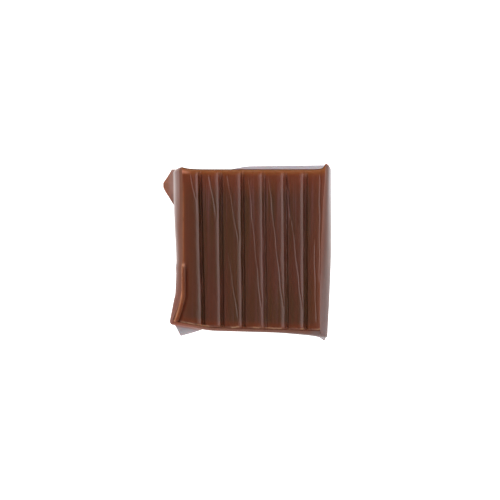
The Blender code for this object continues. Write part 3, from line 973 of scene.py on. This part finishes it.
def lip_colour(surface, colour):
    """The curled lip: painted shade in its crease, a painted orange glow of light through its
    slope, and a painted highlight on its beaded crest and the knob.
    """
    # painted shade in the crease beside the lip
    shadow = near((surface.left_gap - LIP_SHADOW_INSET).size(), LIP_SHADOW_WIDTH)
    colour = surface.tint(shadow * surface.lip, colour, LIP_SHADOW)
    # painted glow: orange of light passing through the thin lip
    slope = near((surface.left_gap - LIP_ORANGE_INSET).size(), LIP_ORANGE_WIDTH)
    colour = surface.tint(slope * surface.lip, colour, LIP_GLOW_ORANGE)
    # painted highlight on the beaded crest and the knob
    beads = BEAD_LEAST + BEAD_SPAN * surface.noise(*BEAD_NOISE).eased(*BEAD_WINDOW)
    crest = near((surface.left_gap + LIP_CREST_OUTSET).size(), LIP_CREST_WIDTH)
    aside = surface.left_gap - LIP_INSET
    along = surface.y - KNOB_TINT_Y
    from_knob = (aside ** 2.0 + along ** 2.0) ** 0.5
    knob = near(from_knob, KNOB_RADIUS) * surface.top
    return surface.tint((crest * surface.lip * beads).larger(knob), colour, LIP_CREST_HIGHLIGHT)


def wall_colour(surface):
    """Walls: lighter on the left, warm below the horn, with a painted orange glow along the front
    rim and painted reflection grey at the front right.
    """
    rim = surface.tint(surface.rightward, RIM_BROWN, WARM_BROWN)
    # painted glow of light through the front cut, on the wall below the front rim
    rim = surface.tint(surface.y.faded(*FRONT_RIM) * FRONT_RIM_SHARE, rim, FRONT_GLOW_ORANGE)
    flank = surface.tint(surface.rightward, LEFT_WALL, RIGHT_WALL)
    flank = surface.tint(surface.z.faded(*RIM_TINT), rim, flank)
    flank = surface.tint(surface.lip, flank, LIP_WALL)
    # painted reflection: the front right wall greyed by the white floor
    return surface.tint(surface.front_right * FRONT_RIGHT_SHARE, flank, REFLECTED_GREY_WALL)


def thin_colour(surface, colour):
    """The ear, the films and the pale corners, where the caramel is thin, with painted shade and
    reflection on and above the ear and a painted sheen on the right flank.
    """
    # painted reflection: a grey band on the wall above the ear
    band = surface.z.eased(*GREY_BAND_FOOT) * surface.z.faded(*GREY_BAND_HEAD)
    band = band * surface.x.faded(*GREY_BAND_X) * surface.y.eased(*GREY_BAND_Y)
    colour = surface.tint(band * (1.0 - surface.top) * GREY_BAND_SHARE, colour, EAR_REFLECTED_GREY)
    # painted shade on the front of the ear, painted reflection grey behind it
    ear_tint = surface.tint(surface.y.eased(*EAR_GREY_Y), EAR_SHADOW, EAR_REFLECTED_GREY)
    ear_tint = surface.tint(surface.x.faded(*EAR_TIP_X), ear_tint, EAR_BROWN)
    on_ear = surface.x.faded(*ON_EAR_X) * surface.y.eased(*ON_EAR_Y)
    film = surface.tint(on_ear, FILM_AND_SHEEN_GREY, ear_tint)
    colour = surface.tint(surface.thin, colour, film)
    foot = surface.x.eased(*FRONT_FOOT_X) * surface.y.faded(*FRONT_FOOT_Y)
    foot = foot * surface.z.faded(*FRONT_FOOT_Z)
    colour = surface.tint(foot * FRONT_FOOT_SHARE, colour, FILM_AND_SHEEN_GREY)
    # painted sheen: the right flank paler towards the back
    side = surface.x.eased(*BACK_SHEEN_X) * surface.y.eased(*BACK_SHEEN_Y)
    side = side * surface.z.faded(*BACK_SHEEN_Z)
    return surface.tint(side * BACK_SHEEN_SHARE, colour, FILM_AND_SHEEN_GREY)


def dullness(surface):
    """Roughness: glossy ribs, with a duller rim, lip, cut edges, ear and front right."""
    on_ear = surface.x.faded(*DULL_EAR_X) * surface.y.eased(*ON_EAR_Y)
    on_ear = on_ear * surface.z.faded(*DULL_EAR_Z)
    on_wall = (surface.z.eased(*DULL_RIM) * DULL_RIM_SHARE).larger(surface.front_right)
    on_wall = on_wall.larger(surface.lip * DULL_LIP_WALL_SHARE)
    on_wall = on_wall.larger(on_ear * DULL_EAR_SHARE) * (1.0 - surface.top)
    on_top = near(surface.left_gap, DULL_LIP_WIDTH) * surface.lip
    on_top = on_top.larger(near(surface.end_gap, DULL_END_WIDTH) * DULL_END_SHARE)
    on_top = on_top * surface.top
    mottle = surface.noise(*GLOSS_NOISE) * ROUGHNESS_MOTTLE
    return ROUGHNESS_LEAST + mottle + (on_wall + on_top) * ROUGHNESS_RANGE


def fine_relief(surface):
    """Streaks along the ribs, weaker on the walls, and a fine grain."""
    streaks = BUMP_STREAK_SHARE + BUMP_STREAK_TOP_SHARE * surface.top
    height = surface.noise(*BUMP_STREAKS) * streaks
    height = height + surface.noise(*BUMP_GRAIN) * BUMP_GRAIN_SHARE
    links = {"Strength": BUMP_STRENGTH, "Distance": BUMP_DISTANCE, "Height": height}
    return add(surface.tree, "ShaderNodeBump", {}, links)[0]


def caramel_material():
    material = bpy.data.materials.new("brown_caramel")
    material.use_nodes = True
    tree = material.node_tree
    surface = Surface(tree)
    colour = lip_colour(surface, end_colour(surface, rib_colour(surface)))
    colour = surface.tint(surface.top, wall_colour(surface), colour)
    colour = thin_colour(surface, colour)
    shader = tree.nodes["Principled BSDF"]
    tree.links.new(colour.socket, shader.inputs["Base Color"])
    tree.links.new(dullness(surface).socket, shader.inputs["Roughness"])
    tree.links.new(fine_relief(surface).socket, shader.inputs["Normal"])
    shader.inputs["Subsurface Weight"].default_value = TRANSLUCENCE
    shader.inputs["Subsurface Radius"].default_value = LIGHT_REACH
    shader.inputs["Subsurface Scale"].default_value = LIGHT_SCALE
    shader.inputs["IOR"].default_value = REFRACTION
    return material


def make_caramel():
    """Build the piece; return how far it moved to sit in the frame."""
    material = caramel_material()
    data = block_mesh()
    piece = bpy.data.objects.new("caramel_piece", data)
    bpy.context.scene.collection.objects.link(piece)
    press_ribs(piece, material)
    shift = sit_in_frame(piece.data)
    piece.data.shade_smooth()
    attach(piece, "root")
    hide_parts("caramel")
    return shift


def sit_in_frame(data):
    """Put the mesh's box on the node's box; return how far it moved."""
    points = np.empty(len(data.vertices) * 3)
    data.vertices.foreach_get("co", points)
    points = points.reshape(-1, 3)
    low, high = (np.array(corner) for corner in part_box("caramel"))
    shift = (low + high) / 2.0 - (points.min(axis=0) + points.max(axis=0)) / 2.0
    shift[2] = low[2] - points[:, 2].min()
    points = np.clip(points + shift, low, high)
    data.vertices.foreach_set("co", points.ravel())
    data.update()
    return shift


# ------------------------------------------------------------------ studio
def floor_material():
    material = bpy.data.materials.new("pale_floor")
    material.use_nodes = True
    shader = material.node_tree.nodes["Principled BSDF"]
    shader.inputs["Base Color"].default_value = FLOOR_GREY
    shader.inputs["Roughness"].default_value = FLOOR_ROUGHNESS
    shader.inputs["Specular IOR Level"].default_value = 0.0
    shader.inputs["Emission Color"].default_value = WHITE
    shader.inputs["Emission Strength"].default_value = FLOOR_GLOW
    return material


def make_floor():
    half = FLOOR_HALF_SIZE
    corners = [(-half, -half), (half, -half), (half, half), (-half, half)]
    data = bpy.data.meshes.new("floor")
    data.from_pydata([(x, y, -FLOOR_DROP) for x, y in corners], [], [(0, 1, 2, 3)])
    data.materials.append(floor_material())
    floor = bpy.data.objects.new("floor", data)
    bpy.context.scene.collection.objects.link(floor)


def make_world():
    """A studio that is bright near the floor and dim overhead."""
    world = bpy.data.worlds.new("studio")
    world.use_nodes = True
    tree = world.node_tree
    direction = add(tree, "ShaderNodeTexCoord")["Generated"]
    up = add(tree, "ShaderNodeSeparateXYZ", {}, {0: direction})["Z"]
    colour = blend_colour(tree, up.eased(*SKY_WINDOW), WHITE, SKY_GREY)
    background = tree.nodes["Background"]
    tree.links.new(colour.socket, background.inputs["Color"])
    bpy.context.scene.world = world


def make_light(name, place, size, power, colour):
    light = bpy.data.lights.new(name, "AREA")
    light.shape = "RECTANGLE"
    light.size, light.size_y = size
    light.energy = power
    light.color = colour
    item = bpy.data.objects.new(name, light)
    item.location = place
    aim = -item.location.normalized()
    item.rotation_euler = aim.to_track_quat("-Z", "Y").to_euler()
    bpy.context.scene.collection.objects.link(item)


def make_camera(shift):
    lens = bpy.data.cameras.new("camera")
    lens.sensor_width = SENSOR
    lens.lens = SENSOR * CAMERA_HEIGHT / VIEW_WIDTH
    lens.clip_start = VIEW_START
    lens.clip_end = VIEW_END
    camera = bpy.data.objects.new("camera", lens)
    camera.location = (CAMERA_X + shift[0], CAMERA_Y + shift[1], CAMERA_HEIGHT)
    bpy.context.scene.collection.objects.link(camera)
    bpy.context.scene.camera = camera


bpy.context.scene.view_settings.view_transform = "Standard"
moved = make_caramel()
make_floor()
make_world()
for light_name, (light_place, light_size, light_power, light_colour) in LIGHTS.items():
    make_light(light_name, light_place, light_size, light_power, light_colour)
make_camera(moved)
